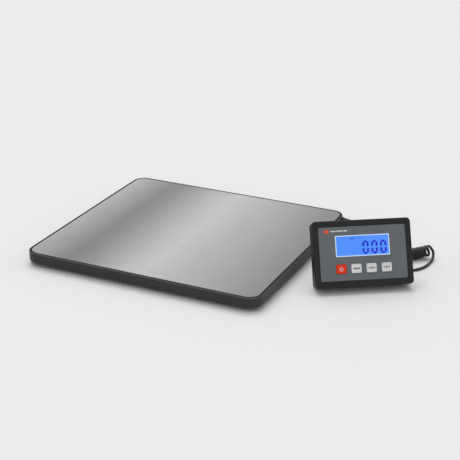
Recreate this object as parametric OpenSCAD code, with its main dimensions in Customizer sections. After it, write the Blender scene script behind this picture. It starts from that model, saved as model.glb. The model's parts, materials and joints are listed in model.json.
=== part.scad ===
// Platform shipping scale: a low weighing platform on four load cells, a tilted
// display unit on its own fold-out stand, and a curly cord between the two.
// Origin: on the floor, in the middle of platform and display together.
// X runs along the platform's front edge, Y to the rear, Z up.

/* [Platform] */
// Width of the platform, along X
platform_w = 330; // [300:5:360]
// Depth of the platform, along Y
platform_d = 304; // [280:2:340]
// Radius of the platform's corners
platform_r = 17.5; // [12:0.5:24]
// Height of the weighing surface above the floor
platform_h = 18.7; // [18.7:0.1:19.5]
// Gap under the platform's side walls
floor_gap = 4.7; // [4.4:0.1:4.8]
// Width of the black rim around the steel plate
rim_w = 3.6; // [3:0.1:5]
// Distance from the platform's centre to a foot, along X
foot_x = 125; // [110:1:130]
// Distance from the platform's centre to a foot, along Y
foot_y = 112; // [100:1:116]

/* [Display] */
// Width of the display's front frame
display_w = 124; // [121:0.5:126]
// Height of the display's front frame
display_h = 82.5; // [80:0.5:84]
// Radius of the front frame's corners
display_r = 5; // [3:0.5:6]
// Lean of the display back from upright, in degrees
display_tilt = 27.8; // [26:0.1:29]
// Turn of the display about the vertical, in degrees
display_yaw = 32.5; // [20:0.5:40]
// Width of the four keys
key_w = 12.7; // [11:0.1:13.5]
// Height of the four keys
key_h = 11.2; // [10:0.1:12]
// Spacing of the four keys
key_pitch = 19; // [17.5:0.1:20]

/* [Stand] */
// Height of the stand's hinge above the display's lower edge
stand_hinge_h = 60; // [58:0.5:61]
// Length of the stand from its hinge axis to its tip axis
stand_l = 54; // [53:0.5:55]
// Width of the stand
stand_w = 32; // [24:1:32]

/* [Cord] */
// Diameter of the cord
cord_d = 3.5; // [3:0.1:3.5]
// Outer diameter of the curly part
coil_d = 15.5; // [14:0.5:15.5]

/* [Hidden] */
$fn = 64;

// Places of the two units on the floor
platform_x = -74;
display_x = 188.2;
display_y = -43;

// Platform, heights above the floor
plate_t = 0.8;
deck_t = 2.4;
wall_t = 2.4;
cover_t = 1.6;
deck_top = platform_h - plate_t;
deck_bottom = deck_top - deck_t;
cover_top = floor_gap + cover_t;
cover_gap = 0.4;
cell_bottom = 8.8;
cell_t = 1.6;
cell_s = 34;
button_h = 0.4;
foot_r = 13;
foot_top = 3.9;
pad_h = 1.5;
neck_r = 3.5;
corners = [[-1, -1], [1, -1], [-1, 1], [1, 1]];
base_screw_places = [
    [-153, -139], [0, -143], [153, -139], [-155, 0],
    [155, 0], [-153, 139], [0, 143], [153, 139]
];

// Display, measured in its own upright frame: X across, Y back, Z up the face
bezel_depth = 9;
display_depth = 23;
cover_inset = 1;
shell_t = 2;
panel_w = 109.2;
panel_h = 67;
panel_r = 2.5;
panel_front = 0.3;
panel_back = 1.3;
front_wall_back = 2.8;
bezel_side = (display_w - panel_w) / 2;
bezel_low = (display_h - panel_h) / 2;
lcd_w = 67.8;
lcd_h = 26;
lcd_z = bezel_low + 42.8;
key_z = bezel_low + 14.6;
key_slack = 0.3;
key_travel = 0.45;
key_front = -0.3;
key_flange_front = 3;
board_front = 6.4;
board_back = 8;
display_lift = display_depth * sin(display_tilt) - cover_inset * cos(display_tilt);
boss_places = [[-52.5, 8], [52.5, 8], [-52.5, 73.5], [52.5, 73.5]];

// Battery bay and its sliding door
bay_left = -(display_w / 2 - cover_inset - shell_t);
bay_right = -22;
bay_low = 14;
bay_high = 62;
bay_floor = 9.3;
battery_r = 5.25;
battery_l = 43.5;
battery_z = 17;
battery_y = 14.65;
battery_x = [-52.4, -41.4, -30.4];
door_right = -19.5;
door_low = 13;
door_high = 63;
door_gap = 0.2;
door_step = 22;

// Stand pocket, hinge and leg
pocket_w = stand_w + 2;
pocket_low = 3.4;
pocket_high = 64;
pocket_floor = 18.7;
hinge_y = 20.8;
leg_t = 3.2;
pin_r = 1.2;
pin_slack = 0.05;
hinge_height = display_lift + stand_hinge_h * cos(display_tilt) - hinge_y * sin(display_tilt);
leg_lean = acos((hinge_height - leg_t / 2) / stand_l);
leg_open = leg_lean + display_tilt;

// Cord glands
gland_y = 138;
gland_z = 11.7;
boot_l = 12;
display_gland_x = 44;
display_gland_z = 12;
display_boot_end = 33;

// Centre line of the cord from the platform's boot to the coil
lead_platform = [
    [103, 138, 11.7], [107, 138, 11.3], [112.5, 137, 9.3], [117.5, 134, 6.2],
    [121.8, 128.5, 3.7], [124.6, 121, 2.3], [126.4, 112, 1.8], [127.4, 102, 1.75],
    [127.8, 91, 1.75], [127.6, 80, 1.75], [126.6, 69, 1.75], [125, 57, 1.75],
    [122.8, 45, 1.75], [120.3, 34, 1.75], [118.6, 24, 1.8], [119.2, 15.6, 2.3],
    [122.4, 9.4, 3.5], [127.6, 7.2, 5.2], [133.4, 9.7, 6.9], [139, 14.7, 7.75]
];

// Axis of the curly part; it lies on the floor and turns up and forward at its end
coil_axis = [
    [139, 14.7, 7.75], [160, 33.6, 7.75], [185, 56.1, 7.75], [205, 74.1, 7.75],
    [213, 81.3, 7.9], [218, 85.8, 8.4], [222.2, 88.6, 9.4], [226, 89.4, 10.7],
    [229.5, 88.4, 12]
];

// Centre line of the cord from the coil's last turn to the display's boot
lead_display = [
    [232.3, 93.7, 12], [233.8, 93.2, 8.8], [234.9, 91.3, 5.9], [235.5, 88, 3.8],
    [235.8, 84, 2.5], [235.9, 79.6, 1.9], [235.7, 74.5, 1.75], [234.9, 67.8, 1.75],
    [233.4, 60.5, 1.75], [230.6, 53.4, 1.75], [226.2, 47, 1.75], [221, 41.6, 1.75],
    [215.4, 36.4, 1.75], [210, 30.8, 1.75], [206, 25, 1.75], [204.2, 19.4, 1.9],
    [204.6, 14.6, 2.9], [206.6, 10, 5.05]
];

// ---- shared shapes ------------------------------------------------------

module rounded_rect(w, h, r) {
    square([w - 2 * r, h], center = true);
    square([w, h - 2 * r], center = true);
    for (sx = [-1, 1], sy = [-1, 1])
        translate([sx * (w / 2 - r), sy * (h / 2 - r)]) circle(r);
}

module slab(w, h, r, z0, z1) {
    translate([0, 0, z0]) linear_extrude(z1 - z0) rounded_rect(w, h, r);
}

module block(x0, x1, y0, y1, z0, z1) {
    translate([x0, y0, z0]) cube([x1 - x0, y1 - y0, z1 - z0]);
}

module post(x, y, r, z0, z1) {
    translate([x, y, z0]) cylinder(r = r, h = z1 - z0);
}

// A plate standing in the display's frame, seen from the front as w by h
module face_slab(w, h, r, y0, y1, z = display_h / 2) {
    translate([0, y1, z]) rotate([90, 0, 0])
        linear_extrude(y1 - y0) rounded_rect(w, h, r);
}

// A round post in the display's frame, running back along Y
module face_post(x, z, r, y0, y1) {
    translate([x, y1, z]) rotate([90, 0, 0]) cylinder(r = r, h = y1 - y0);
}

module at_platform() {
    translate([platform_x, 0, 0]) children();
}

module at_display() {
    translate([display_x, display_y, display_lift])
        rotate([0, 0, display_yaw]) rotate([-display_tilt, 0, 0]) children();
}

function unit(v) = v / norm(v);

function heading(path, i) =
    unit(path[min(i + 1, len(path) - 1)] - path[max(i - 1, 0)]);

function ring(path, i, r, sides) =
    let (t = heading(path, i), side = unit(cross(t, [0, 0, 1])), up = cross(side, t))
    [for (k = [0 : sides - 1])
        path[i] + r * cos(360 * k / sides) * side + r * sin(360 * k / sides) * up];

module tube(path, d, sides = 8) {
    last = len(path) - 1;
    points = [for (i = [0 : last]) each ring(path, i, d / 2, sides)];
    walls = [for (i = [0 : last - 1], k = [0 : sides - 1])
        let (a = i * sides, n = (k + 1) % sides)
        [a + k, a + n, a + sides + n, a + sides + k]];
    near_end = [for (k = [sides - 1 : -1 : 0]) k];
    far_end = [for (k = [0 : sides - 1]) last * sides + k];
    polyhedron(points = points, faces = concat(walls, [near_end, far_end]), convexity = 6);
}

// ---- platform -----------------------------------------------------------

module weighing_plate() {
    inset = 2 * rim_w;
    color("silver") at_platform()
        slab(platform_w - inset, platform_d - inset, platform_r - rim_w, deck_top, platform_h);
}

module platform_shell() {
    rim = 2 * rim_w;
    wall = 2 * wall_t;
    color([0.17, 0.17, 0.18]) at_platform() difference() {
        union() {
            difference() {
                slab(platform_w, platform_d, platform_r, floor_gap, platform_h);
                slab(platform_w - rim, platform_d - rim, platform_r - rim_w, deck_top, platform_h + 1);
                slab(platform_w - wall, platform_d - wall, platform_r - wall_t,
                    floor_gap - 1, deck_bottom);
            }
            for (p = base_screw_places) post(p[0], p[1], 4, cover_top, deck_bottom);
        }
        for (p = base_screw_places) post(p[0], p[1], 1.5, cover_top - 1, 12.5);
        translate([platform_w / 2 - wall_t - 1, gland_y, gland_z])
            rotate([0, 90, 0]) cylinder(r = 3.5, h = wall_t + 2);
    }
}

module base_cover() {
    less = 2 * (wall_t + cover_gap);
    color([0.13, 0.13, 0.14]) at_platform() difference() {
        slab(platform_w - less, platform_d - less, platform_r - wall_t - cover_gap,
            floor_gap, cover_top);
        for (p = base_screw_places) {
            post(p[0], p[1], 1.6, floor_gap - 1, cover_top + 1);
            post(p[0], p[1], 3.2, floor_gap - 1, floor_gap + 1);
        }
        for (c = corners) post(c[0] * foot_x, c[1] * foot_y, neck_r + 1.5,
            floor_gap - 1, cover_top + 1);
    }
}

module stiffener_bars() {
    bar_l = 290;
    color([0.62, 0.63, 0.64]) at_platform()
        for (y = [-62, 0, 62]) difference() {
            block(-bar_l / 2, bar_l / 2, y - 9, y + 9, deck_bottom - 4.5, deck_bottom);
            block(-bar_l / 2 - 1, bar_l / 2 + 1, y - 7.8, y + 7.8,
                deck_bottom - 5.5, deck_bottom - 1.2);
        }
}

module load_cell(c) {
    slot_w = 2;
    tongue = 12;
    color([0.72, 0.73, 0.74]) at_platform() translate([c[0] * foot_x, c[1] * foot_y, 0]) {
        difference() {
            slab(cell_s, cell_s, 4, cell_bottom, cell_bottom + cell_t);
            for (s = [-1, 1])
                translate([s * (tongue + slot_w) / 2 - slot_w / 2, -11, cell_bottom - 1])
                    cube([slot_w, 20, cell_t + 2]);
            translate([-tongue / 2, 7, cell_bottom - 1]) cube([tongue, slot_w, cell_t + 2]);
        }
        post(0, 0, 3, cell_bottom - button_h, cell_bottom);
    }
}

module cell_bracket(c) {
    bracket_s = 44;
    color([0.22, 0.22, 0.23]) at_platform() translate([c[0] * foot_x, c[1] * foot_y, 0])
        difference() {
            slab(bracket_s, bracket_s, 5, cell_bottom, deck_bottom);
            slab(cell_s + 0.4, cell_s + 0.4, 4.2, cell_bottom - 1, cell_bottom + cell_t);
            slab(26, 26, 3, cell_bottom - 1, deck_bottom - 1.6);
            for (s = [-1, 1]) post(s * 19.6, s * 19.6 - s * 1.2, 0.9, cell_bottom - 1, 14);
        }
}

module foot(c) {
    color([0.16, 0.16, 0.17]) at_platform() translate([c[0] * foot_x, c[1] * foot_y, 0]) {
        post(0, 0, foot_r, pad_h, foot_top);
        post(0, 0, neck_r, foot_top, cell_bottom - button_h);
    }
}

module foot_pad(c) {
    color([0.1, 0.1, 0.1]) at_platform()
        post(c[0] * foot_x, c[1] * foot_y, foot_r - 1.5, 0, pad_h);
}

module load_cell_front_left() { load_cell(corners[0]); }
module load_cell_front_right() { load_cell(corners[1]); }
module load_cell_rear_left() { load_cell(corners[2]); }
module load_cell_rear_right() { load_cell(corners[3]); }
module cell_bracket_front_left() { cell_bracket(corners[0]); }
module cell_bracket_front_right() { cell_bracket(corners[1]); }
module cell_bracket_rear_left() { cell_bracket(corners[2]); }
module cell_bracket_rear_right() { cell_bracket(corners[3]); }
module foot_front_left() { foot(corners[0]); }
module foot_front_right() { foot(corners[1]); }
module foot_rear_left() { foot(corners[2]); }
module foot_rear_right() { foot(corners[3]); }
module foot_pad_front_left() { foot_pad(corners[0]); }
module foot_pad_front_right() { foot_pad(corners[1]); }
module foot_pad_rear_left() { foot_pad(corners[2]); }
module foot_pad_rear_right() { foot_pad(corners[3]); }

module junction_board() {
    color([0.1, 0.4, 0.25]) at_platform() {
        block(60, 110, 22, 50, 8.5, 10.1);
        for (x = [64, 106], y = [26, 46]) post(x, y, 2, 10.1, deck_bottom);
        block(98, 108, 30, 42, 6.9, 8.5);
    }
}

// One wire per load cell: across to the board's line, then along to its edge
module cell_wire(c) {
    wire_r = 0.9;
    wire_z = cell_bottom - wire_r;
    from_x = c[0] * (foot_x - 15);
    from_y = c[1] * foot_y;
    turn_x = 85 + 6 * c[0] + 3 * c[1];
    edge_y = c[1] < 0 ? 26 : 46;
    translate([min(from_x, turn_x), from_y, wire_z])
        rotate([0, 90, 0]) cylinder(r = wire_r, h = abs(turn_x - from_x));
    translate([turn_x, from_y, wire_z]) sphere(wire_r);
    translate([turn_x, min(from_y, edge_y), wire_z])
        rotate([-90, 0, 0]) cylinder(r = wire_r, h = abs(edge_y - from_y));
}

module load_cell_wires() {
    color([0.75, 0.1, 0.1]) at_platform() for (c = corners) cell_wire(c);
}

module base_screws() {
    color([0.55, 0.55, 0.57]) at_platform() for (p = base_screw_places) difference() {
        union() {
            post(p[0], p[1], 3, floor_gap + 0.2, floor_gap + 1);
            post(p[0], p[1], 1.5, floor_gap + 1, 12.3);
        }
        block(p[0] - 2, p[0] + 2, p[1] - 0.35, p[1] + 0.35, floor_gap, floor_gap + 0.6);
        block(p[0] - 0.35, p[0] + 0.35, p[1] - 2, p[1] + 2, floor_gap, floor_gap + 0.6);
    }
}

module bracket_screws() {
    color([0.55, 0.55, 0.57]) at_platform() for (c = corners)
        translate([c[0] * foot_x, c[1] * foot_y, 0]) for (s = [-1, 1]) {
            post(s * 19.6, s * 18.4, 1.7, cell_bottom - 1, cell_bottom);
            post(s * 19.6, s * 18.4, 0.9, cell_bottom, 13.8);
        }
}

module platform_cord_boot() {
    color([0.12, 0.12, 0.13]) at_platform()
        translate([platform_w / 2, gland_y, gland_z]) rotate([0, 90, 0]) difference() {
            union() {
                translate([0, 0, -wall_t - 1.5]) cylinder(r = 4.6, h = 1.5);
                translate([0, 0, -wall_t]) cylinder(r = 3.5, h = wall_t);
                translate([0, 0, -1.6]) cylinder(r = 4.6, h = 3.1);
                translate([0, 0, 1.5]) cylinder(r1 = 3.9, r2 = 2.7, h = boot_l - 1.5);
            }
            translate([0, 0, -wall_t - 3]) cylinder(r = cord_d / 2, h = boot_l + wall_t + 4);
        }
}

// ---- display housing ----------------------------------------------------

module key_window(x, grow, y0, y1) {
    translate([x, 0, 0])
        face_slab(key_w + 2 * grow, key_h + 2 * grow, 1.5 + grow, y0, y1, key_z);
}

function key_x(i) = (i - 1.5) * key_pitch;

module front_bezel() {
    color([0.16, 0.17, 0.18]) at_display() difference() {
        union() {
            difference() {
                face_slab(display_w, display_h, display_r, 0, bezel_depth);
                face_slab(display_w - 2 * shell_t, display_h - 2 * shell_t, display_r - shell_t,
                    front_wall_back, bezel_depth + 1);
            }
            for (p = boss_places) face_post(p[0], p[1], 3.5, front_wall_back, bezel_depth);
        }
        face_slab(panel_w, panel_h, panel_r, -1, panel_back);
        face_slab(lcd_w + 0.4, lcd_h + 0.4, 0.8, 0, front_wall_back + 1, lcd_z);
        for (i = [0 : 3]) key_window(key_x(i), key_slack, 0, front_wall_back + 1);
        for (p = boss_places) face_post(p[0], p[1], 1.2, 4, bezel_depth + 1);
    }
}

module rear_cover() {
    w = display_w - 2 * cover_inset;
    h = display_h - 2 * cover_inset;
    r = display_r - cover_inset;
    color([0.13, 0.14, 0.15]) at_display() difference() {
        union() {
            difference() {
                face_slab(w, h, r, bezel_depth, display_depth);
                face_slab(w - 2 * shell_t, h - 2 * shell_t, r - shell_t,
                    bezel_depth - 1, display_depth - shell_t);
            }
            for (p = boss_places)
                face_post(p[0], p[1], 3.5, bezel_depth, display_depth - shell_t);
            battery_bay_walls();
            stand_pocket_walls();
        }
        battery_bay_space();
        door_track();
        stand_pocket_space();
        for (p = boss_places) {
            face_post(p[0], p[1], 1.4, bezel_depth - 1, display_depth + 1);
            face_post(p[0], p[1], 2.7, 16, display_depth + 1);
        }
        face_post(display_gland_x, display_gland_z, 3.5,
            display_depth - shell_t - 1, display_depth + 1);
    }
}

module battery_bay_walls() {
    block(bay_left - 0.1, bay_right + 1.2, bay_floor - 1, display_depth - shell_t,
        bay_low - 1.2, bay_high + 1.2);
}

module battery_bay_space() {
    block(bay_left, bay_right, bay_floor, display_depth + 1, bay_low, bay_high);
}

module door_track() {
    left = -display_w / 2 - 1;
    block(left, door_right + door_gap, display_depth - shell_t, door_step + 0.1,
        door_low - 1.2, door_high + 1.2);
    block(left, door_right + door_gap, door_step, display_depth + 1,
        door_low - door_gap, door_high + door_gap);
}

module stand_pocket_walls() {
    block(-pocket_w / 2 - 1.6, pocket_w / 2 + 1.6, pocket_floor - 1.5,
        display_depth - shell_t, pocket_low - 0.8, pocket_high + 1.6);
}

module stand_pocket_space() {
    block(-pocket_w / 2, pocket_w / 2, pocket_floor, display_depth + 1,
        pocket_low, pocket_high);
    translate([-pocket_w / 2 - 1, hinge_y, stand_hinge_h])
        rotate([0, 90, 0]) cylinder(r = pin_r, h = pocket_w + 2);
}

module front_panel() {
    color([0.37, 0.39, 0.41]) at_display() difference() {
        face_slab(panel_w - 0.2, panel_h - 0.2, panel_r - 0.1, panel_front, panel_back);
        face_slab(lcd_w + 0.4, lcd_h + 0.4, 0.8, 0, panel_back + 1, lcd_z);
        for (i = [0 : 3]) key_window(key_x(i), key_slack, 0, panel_back + 1);
    }
}

module lcd_window() {
    color([0.85, 0.9, 1, 0.4]) at_display()
        face_slab(lcd_w, lcd_h, 0.6, panel_front, panel_back, lcd_z);
}

module lcd_glass() {
    color([0.35, 0.55, 1]) at_display()
        face_slab(lcd_w - 0.4, lcd_h - 0.4, 0.4, panel_back, front_wall_back + 0.2, lcd_z);
}

module lcd_backlight() {
    color("white") at_display()
        face_slab(lcd_w + 3, lcd_h + 4, 1, front_wall_back + 0.2, board_front, lcd_z);
}

module main_board() {
    color([0.1, 0.4, 0.25]) at_display() difference() {
        face_slab(96, 58, 1, board_front, board_back, 41);
        for (x = [-45, 45]) face_post(x, 41, 1.2, board_front - 1, board_back + 1);
    }
}

module board_chips() {
    color([0.08, 0.08, 0.08]) at_display() {
        block(8, 18, board_back, board_back + 1.6, 42, 52);
        block(24, 30, board_back, board_back + 1.4, 44, 52);
        block(36, 46, board_back, board_back + 4, 20, 27);
        for (x = [8, 12, 16]) block(x, x + 2, board_back, board_back + 0.8, 34, 37);
    }
}

module buzzer() {
    color([0.08, 0.08, 0.08]) at_display() difference() {
        face_post(36, 58, 6, board_back, board_back + 4.5);
        face_post(36, 58, 1, board_back + 3.5, board_back + 5);
    }
}

module key(i) {
    translate([key_x(i), 0, 0]) {
        face_slab(key_w, key_h, 1.5, key_front, key_flange_front, key_z);
        face_slab(key_w + 2, key_h + 2, 1.5, key_flange_front, key_flange_front + 0.8, key_z);
        face_post(0, key_z, 2, key_flange_front + 0.8, 5.2);
    }
}

module key_power() { color([0.88, 0.25, 0.06]) at_display() key(0); }
module key_mode() { color([0.8, 0.81, 0.83]) at_display() key(1); }
module key_hold() { color([0.8, 0.81, 0.83]) at_display() key(2); }
module key_tare() { color([0.8, 0.81, 0.83]) at_display() key(3); }

module tact_switches() {
    color([0.7, 0.7, 0.72]) at_display() for (i = [0 : 3])
        translate([key_x(i), 0, 0]) face_slab(6, 6, 0.5, 5.7, board_front, key_z);
}

module battery_door() {
    color([0.13, 0.14, 0.15]) at_display() difference() {
        union() {
            block(-display_w / 2 + cover_inset, door_right, display_depth - shell_t + door_gap / 2,
                door_step - 0.1, door_low - 1, door_high + 1);
            block(-display_w / 2 + cover_inset, door_right, door_step - 0.1,
                display_depth, door_low, door_high);
        }
        for (k = [0 : 4])
            block(-54 + 2.4 * k, -52.8 + 2.4 * k, display_depth - 0.5, display_depth + 1, 28, 48);
    }
}

module battery(i) {
    translate([battery_x[i], battery_y, battery_z]) {
        cylinder(r = battery_r, h = battery_l);
        translate([0, 0, battery_l]) cylinder(r = 1.9, h = 1);
    }
}

module battery_1() { color([0.2, 0.35, 0.6]) at_display() battery(0); }
module battery_2() { color([0.2, 0.35, 0.6]) at_display() battery(1); }
module battery_3() { color([0.2, 0.35, 0.6]) at_display() battery(2); }

module battery_contacts() {
    plate_t_c = 0.4;
    color([0.75, 0.75, 0.72]) at_display() for (x = battery_x) {
        block(x - 4, x + 4, battery_y - 4, battery_y + 4, bay_low, bay_low + plate_t_c);
        translate([x, battery_y, bay_low + plate_t_c])
            cylinder(r = 2.4, h = battery_z - bay_low - plate_t_c);
        block(x - 4, x + 4, battery_y - 4, battery_y + 4,
            battery_z + battery_l + 1, bay_high);
    }
}

// ---- stand --------------------------------------------------------------

// The leg hangs down from its hinge axis; it is turned out by leg_open
module stand_leg() {
    r = leg_t / 2;
    color([0.13, 0.14, 0.15]) at_display()
        translate([0, hinge_y, stand_hinge_h]) rotate([leg_open, 0, 0]) difference() {
            union() {
                translate([-stand_w / 2, 0, 0]) rotate([0, 90, 0]) cylinder(r = r, h = stand_w);
                translate([-stand_w / 2, -r, -stand_l]) cube([stand_w, leg_t, stand_l]);
                translate([-stand_w / 2, 0, -stand_l])
                    rotate([0, 90, 0]) cylinder(r = r, h = stand_w);
            }
            translate([-stand_w, 0, 0]) rotate([0, 90, 0])
                cylinder(r = pin_r + pin_slack, h = 2 * stand_w);
        }
}

module stand_hinge_pin() {
    color([0.7, 0.7, 0.72]) at_display()
        translate([-pocket_w / 2 - 1, hinge_y, stand_hinge_h])
            rotate([0, 90, 0]) cylinder(r = pin_r, h = pocket_w + 2);
}

module housing_screws() {
    color([0.4, 0.4, 0.42]) at_display() for (p = boss_places) {
        face_post(p[0], p[1], 1.2, 4, 16);
        face_post(p[0], p[1], 2.4, 16, 17.6);
    }
}

module display_cord_boot() {
    inner = display_depth - shell_t;
    color([0.12, 0.12, 0.13]) at_display() difference() {
        union() {
            face_post(display_gland_x, display_gland_z, 4.6, inner - 1.5, inner);
            face_post(display_gland_x, display_gland_z, 3.5, inner, display_depth);
            translate([display_gland_x, display_depth, display_gland_z]) rotate([-90, 0, 0])
                cylinder(r1 = 3.9, r2 = 2.7, h = display_boot_end - display_depth);
        }
        face_post(display_gland_x, display_gland_z, cord_d / 2, inner - 3, display_boot_end + 1);
    }
}

// ---- cord ---------------------------------------------------------------

module cord_lead_platform() {
    color([0.1, 0.1, 0.1]) tube(lead_platform, cord_d);
}

module cord_coil() {
    color([0.1, 0.1, 0.1]) tube(coil_axis, coil_d, 16);
}

module cord_lead_display() {
    color([0.1, 0.1, 0.1]) tube(lead_display, cord_d);
}

weighing_plate();
platform_shell();
base_cover();
stiffener_bars();
load_cell_front_left();
load_cell_front_right();
load_cell_rear_left();
load_cell_rear_right();
cell_bracket_front_left();
cell_bracket_front_right();
cell_bracket_rear_left();
cell_bracket_rear_right();
foot_front_left();
foot_front_right();
foot_rear_left();
foot_rear_right();
foot_pad_front_left();
foot_pad_front_right();
foot_pad_rear_left();
foot_pad_rear_right();
junction_board();
load_cell_wires();
base_screws();
bracket_screws();
platform_cord_boot();
front_bezel();
rear_cover();
front_panel();
lcd_window();
lcd_glass();
lcd_backlight();
main_board();
board_chips();
buzzer();
key_power();
key_mode();
key_hold();
key_tare();
tact_switches();
battery_door();
battery_1();
battery_2();
battery_3();
battery_contacts();
stand_leg();
stand_hinge_pin();
housing_screws();
display_cord_boot();
cord_lead_platform();
cord_coil();
cord_lead_display();
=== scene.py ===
"""Looks of a platform shipping scale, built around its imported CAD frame.

Lengths are in metres in the frame's own axes: X to the right along the platform's
front edge, Y to the rear, Z up, with the floor at Z = 0.
"""
import json
import math

import bmesh
import bpy
from mathutils import Matrix, Vector
from mathutils.geometry import delaunay_2d_cdt


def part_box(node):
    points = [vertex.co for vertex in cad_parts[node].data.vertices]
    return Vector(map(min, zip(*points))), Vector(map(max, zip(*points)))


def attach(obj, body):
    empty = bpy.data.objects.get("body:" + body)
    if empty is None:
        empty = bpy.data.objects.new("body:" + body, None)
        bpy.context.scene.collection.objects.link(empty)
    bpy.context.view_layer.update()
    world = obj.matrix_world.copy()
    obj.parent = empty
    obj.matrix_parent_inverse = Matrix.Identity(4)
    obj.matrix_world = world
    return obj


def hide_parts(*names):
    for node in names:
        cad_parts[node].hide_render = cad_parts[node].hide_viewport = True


MM = 0.001

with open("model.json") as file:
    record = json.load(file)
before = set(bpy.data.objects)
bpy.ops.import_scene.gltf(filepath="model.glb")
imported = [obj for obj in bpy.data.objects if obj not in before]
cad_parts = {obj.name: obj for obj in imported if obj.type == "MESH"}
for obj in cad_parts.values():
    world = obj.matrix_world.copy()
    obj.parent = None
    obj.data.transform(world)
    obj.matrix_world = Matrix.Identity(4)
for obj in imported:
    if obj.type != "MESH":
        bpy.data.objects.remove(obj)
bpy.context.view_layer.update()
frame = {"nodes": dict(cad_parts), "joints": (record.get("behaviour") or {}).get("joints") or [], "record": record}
joints = {j["name"]: j for j in frame["joints"]}
nodes = frame["nodes"]


# ---- camera -----------------------------------------------------------------

CAMERA_PLACE = (0.6025, -1.3079, 0.6523)
CAMERA_DOWN = 23.25
CAMERA_TURN = 25.32
CAMERA_LENS = 93.4
CAMERA_SENSOR = 36
CAMERA_REACH = 50


def make_camera():
    data = bpy.data.cameras.new("camera")
    data.lens = CAMERA_LENS
    data.sensor_width = CAMERA_SENSOR
    data.clip_end = CAMERA_REACH
    camera = bpy.data.objects.new("camera", data)
    camera.location = CAMERA_PLACE
    camera.rotation_euler = (math.radians(90 - CAMERA_DOWN), 0, math.radians(CAMERA_TURN))
    bpy.context.scene.collection.objects.link(camera)
    bpy.context.scene.camera = camera


make_camera()


# ---- frames of the two units ----------------------------------------------------

RIM = 3.6 * MM
WALL = 2.4 * MM
shell_low, shell_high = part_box("platform_shell")
platform_x = (shell_low.x + shell_high.x) / 2
platform_y = (shell_low.y + shell_high.y) / 2
platform_w = shell_high.x - shell_low.x
platform_d = shell_high.y - shell_low.y
PLATFORM_R = 17.5 * MM
platform_shape = (platform_x, platform_y, platform_w, platform_d, PLATFORM_R)
deck_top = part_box("weighing_plate")[0].z
DECK_T = 2.4 * MM
PRESS = joints["platform_press"]["range_m"][1]

DISPLAY_W = 124 * MM
DISPLAY_H = 82.5 * MM
DISPLAY_R = 5 * MM
BEZEL_DEPTH = 9 * MM
DISPLAY_DEPTH = 23 * MM
PANEL_W = 109.2 * MM
PANEL_H = 67 * MM
PANEL_R = 2.5 * MM
BEZEL_LOW = (DISPLAY_H - PANEL_H) / 2
LCD_W = 67.8 * MM
LCD_H = 26 * MM
LCD_UP = BEZEL_LOW + 42.8 * MM
KEY_W = 12.7 * MM
KEY_H = 11.2 * MM
KEY_PITCH = 19 * MM
KEY_UP = BEZEL_LOW + 14.6 * MM
KEY_SLACK = 0.3 * MM
HINGE_BACK = 20.8 * MM
HINGE_UP = 60 * MM

across = -Vector(joints["battery_door_slide"]["axis"])
inward = Vector(joints["power_key_press"]["axis"])
upward = across.cross(inward)
hinge = Vector(joints["stand_fold"]["pos_m"])
display_foot = hinge - inward * HINGE_BACK - upward * HINGE_UP
# Local X runs across the display, Y up its face and Z out towards the viewer
FACE = Matrix.Translation(display_foot) @ Matrix((across, upward, -inward)).transposed().to_4x4()


# ---- material helpers ---------------------------------------------------------

# Noise seldom goes outside these values
NOISE_LOW = 0.3
NOISE_HIGH = 0.7


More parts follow.
